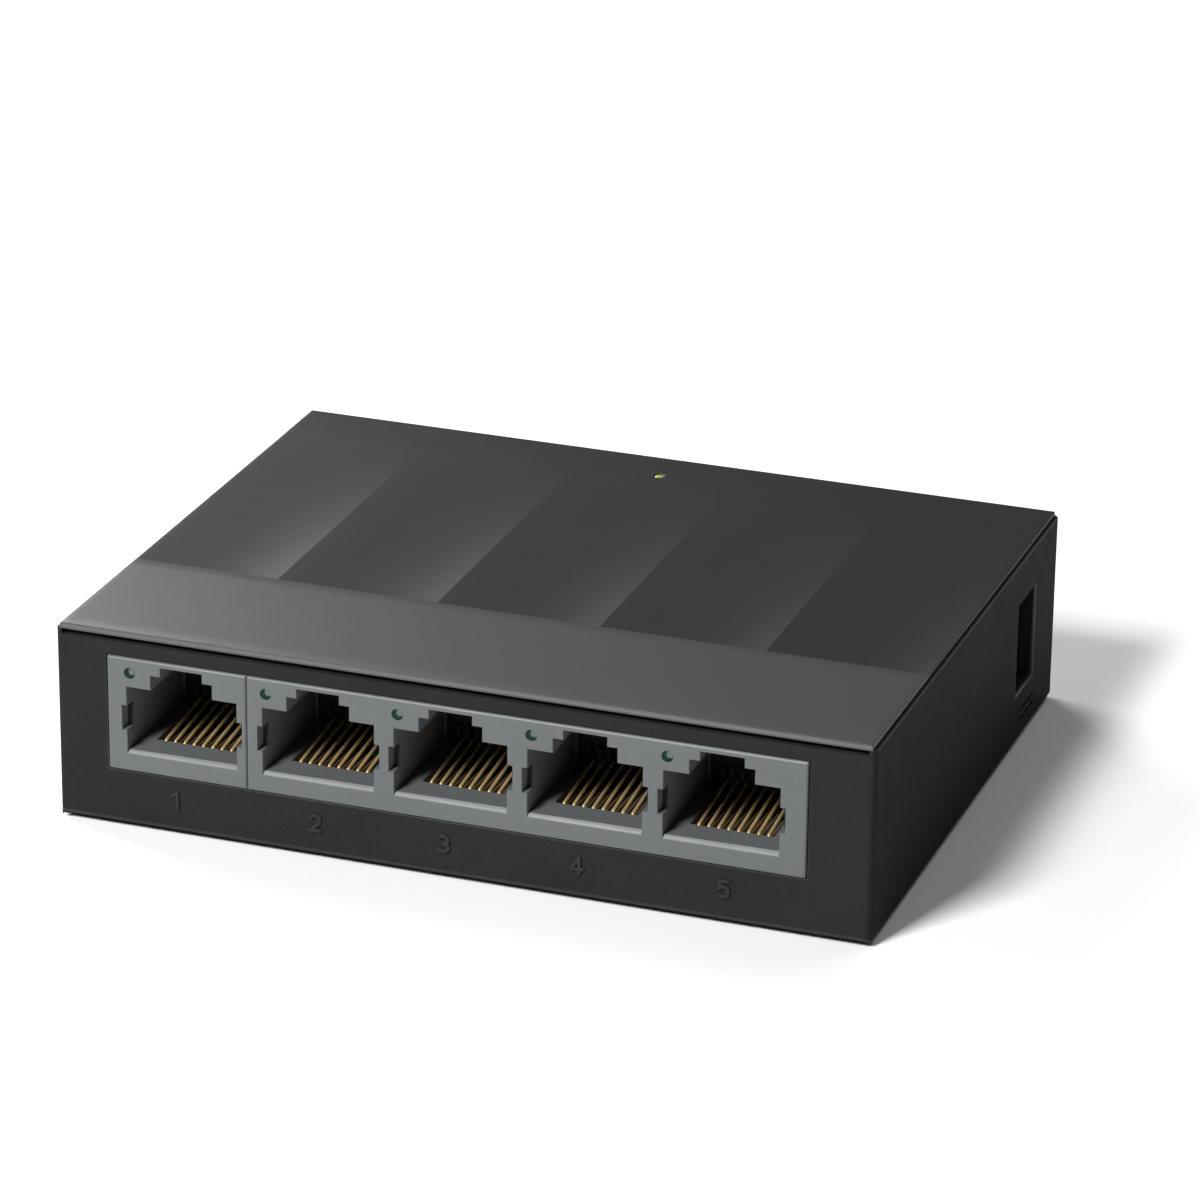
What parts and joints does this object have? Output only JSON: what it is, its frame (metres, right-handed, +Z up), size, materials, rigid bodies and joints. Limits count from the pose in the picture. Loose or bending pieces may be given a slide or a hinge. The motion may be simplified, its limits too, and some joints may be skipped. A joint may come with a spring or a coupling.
{
  "type": "desktop network switch",
  "caption": "Low charcoal plastic box with a row of modular network sockets along the front, a folded lid with a flat front band, and a small DC inlet in the right side.",
  "frame": {"origin": "centre of the footprint, on the surface that the feet stand on", "axes": "+Z up, the network sockets face -Y, +X to the right seen from the front"},
  "size_m": [0.0856, 0.0666, 0.0213],
  "materials": {
    "case_plastic": "fine spark-eroded texture, charcoal",
    "lid_plastic": "fine spark-eroded texture, dark grey with a lighter front band",
    "foot_rubber": "matt soft rubber",
    "plate": "plain satin film, nothing printed",
    "board": "green solder mask over glass laminate",
    "zinc_steel": "zinc plated",
    "jack_plastic": "satin moulded, mid grey",
    "carrier_plastic": "satin moulded, black",
    "gold_wire": "gold flash over phosphor bronze",
    "clear_plastic": "clear light-guide acrylic, faint green",
    "lamp": "white body with a clear lens",
    "inlet_plastic": "satin moulded, black",
    "tin_plate": "bright tin plate",
    "spring_bronze": "bright rolled strip",
    "epoxy": "moulded black epoxy",
    "can_metal": "drawn can",
    "sleeve": "heat-shrunk film, dark blue",
    "ferrite": "pressed powder",
    "disc": "dipped blue coating",
    "ceramic_body": "fired tan ceramic with plated ends",
    "resistor_body": "black glaze with plated ends",
    "fuse_body": "white ceramic"
  },
  "bodies": {
    "switch": {"bottom_case": "case_plastic", "top_cover": "lid_plastic", "rubber_feet": "foot_rubber", "rating_plate_blank": "plate", "pcb": "board", "pcb_screws": "zinc_steel", "jack_single_housing": "jack_plastic", "jack_quad_housing": "jack_plastic", "jack_contact_carriers": "carrier_plastic", "port_1_contacts": "gold_wire", "port_2_contacts": "gold_wire", "port_3_contacts": "gold_wire", "port_4_contacts": "gold_wire", "port_5_contacts": "gold_wire", "port_light_pipes": "clear_plastic", "port_leds": "lamp", "power_light_pipe": "clear_plastic", "power_led": "lamp", "dc_jack_body": "inlet_plastic", "dc_jack_pin": "tin_plate", "dc_jack_terminals": "tin_plate", "switch_chip": "epoxy", "switch_chip_leads": "tin_plate", "transformer_modules": "epoxy", "transformer_leads": "tin_plate", "crystal": "can_metal", "power_inductor": "ferrite", "electrolytic_capacitors": "can_metal", "electrolytic_sleeves": "sleeve", "regulator_chip": "epoxy", "regulator_leads": "tin_plate", "memory_chip": "epoxy", "memory_leads": "tin_plate", "surge_capacitor": "disc", "rectifier_diode": "epoxy", "input_fuse": "fuse_body", "ceramic_capacitors": "ceramic_body", "resistors": "resistor_body", "resistor_networks": "resistor_body"},
    "port_1_wires": {"port_1_springs": "gold_wire"},
    "port_2_wires": {"port_2_springs": "gold_wire"},
    "port_3_wires": {"port_3_springs": "gold_wire"},
    "port_4_wires": {"port_4_springs": "gold_wire"},
    "port_5_wires": {"port_5_springs": "gold_wire"},
    "inlet_leaf": {"dc_jack_spring": "spring_bronze"}
  },
  "joints": [
    {"name": "port_1_press", "type": "hinge", "parent": "switch", "child": "port_1_wires", "pos_m": [-0.0291, -0.0289, 0.00812], "axis": [-1, 0, 0], "range_deg": [0, 6], "stiffness_Nm_per_rad": 0.6},
    {"name": "port_2_press", "type": "hinge", "parent": "switch", "child": "port_2_wires", "pos_m": [-0.01446, -0.0289, 0.00812], "axis": [-1, 0, 0], "range_deg": [0, 6], "stiffness_Nm_per_rad": 0.6},
    {"name": "port_3_press", "type": "hinge", "parent": "switch", "child": "port_3_wires", "pos_m": [-0.00049, -0.0289, 0.00812], "axis": [-1, 0, 0], "range_deg": [0, 6], "stiffness_Nm_per_rad": 0.6},
    {"name": "port_4_press", "type": "hinge", "parent": "switch", "child": "port_4_wires", "pos_m": [0.01348, -0.0289, 0.00812], "axis": [-1, 0, 0], "range_deg": [0, 6], "stiffness_Nm_per_rad": 0.6},
    {"name": "port_5_press", "type": "hinge", "parent": "switch", "child": "port_5_wires", "pos_m": [0.02745, -0.0289, 0.00812], "axis": [-1, 0, 0], "range_deg": [0, 6], "stiffness_Nm_per_rad": 0.6},
    {"name": "inlet_leaf_press", "type": "hinge", "parent": "switch", "child": "inlet_leaf", "pos_m": [0.0312, 0.0215, 0.00745], "axis": [0, 1, 0], "range_deg": [0, 3], "stiffness_Nm_per_rad": 0.5}
  ]
}
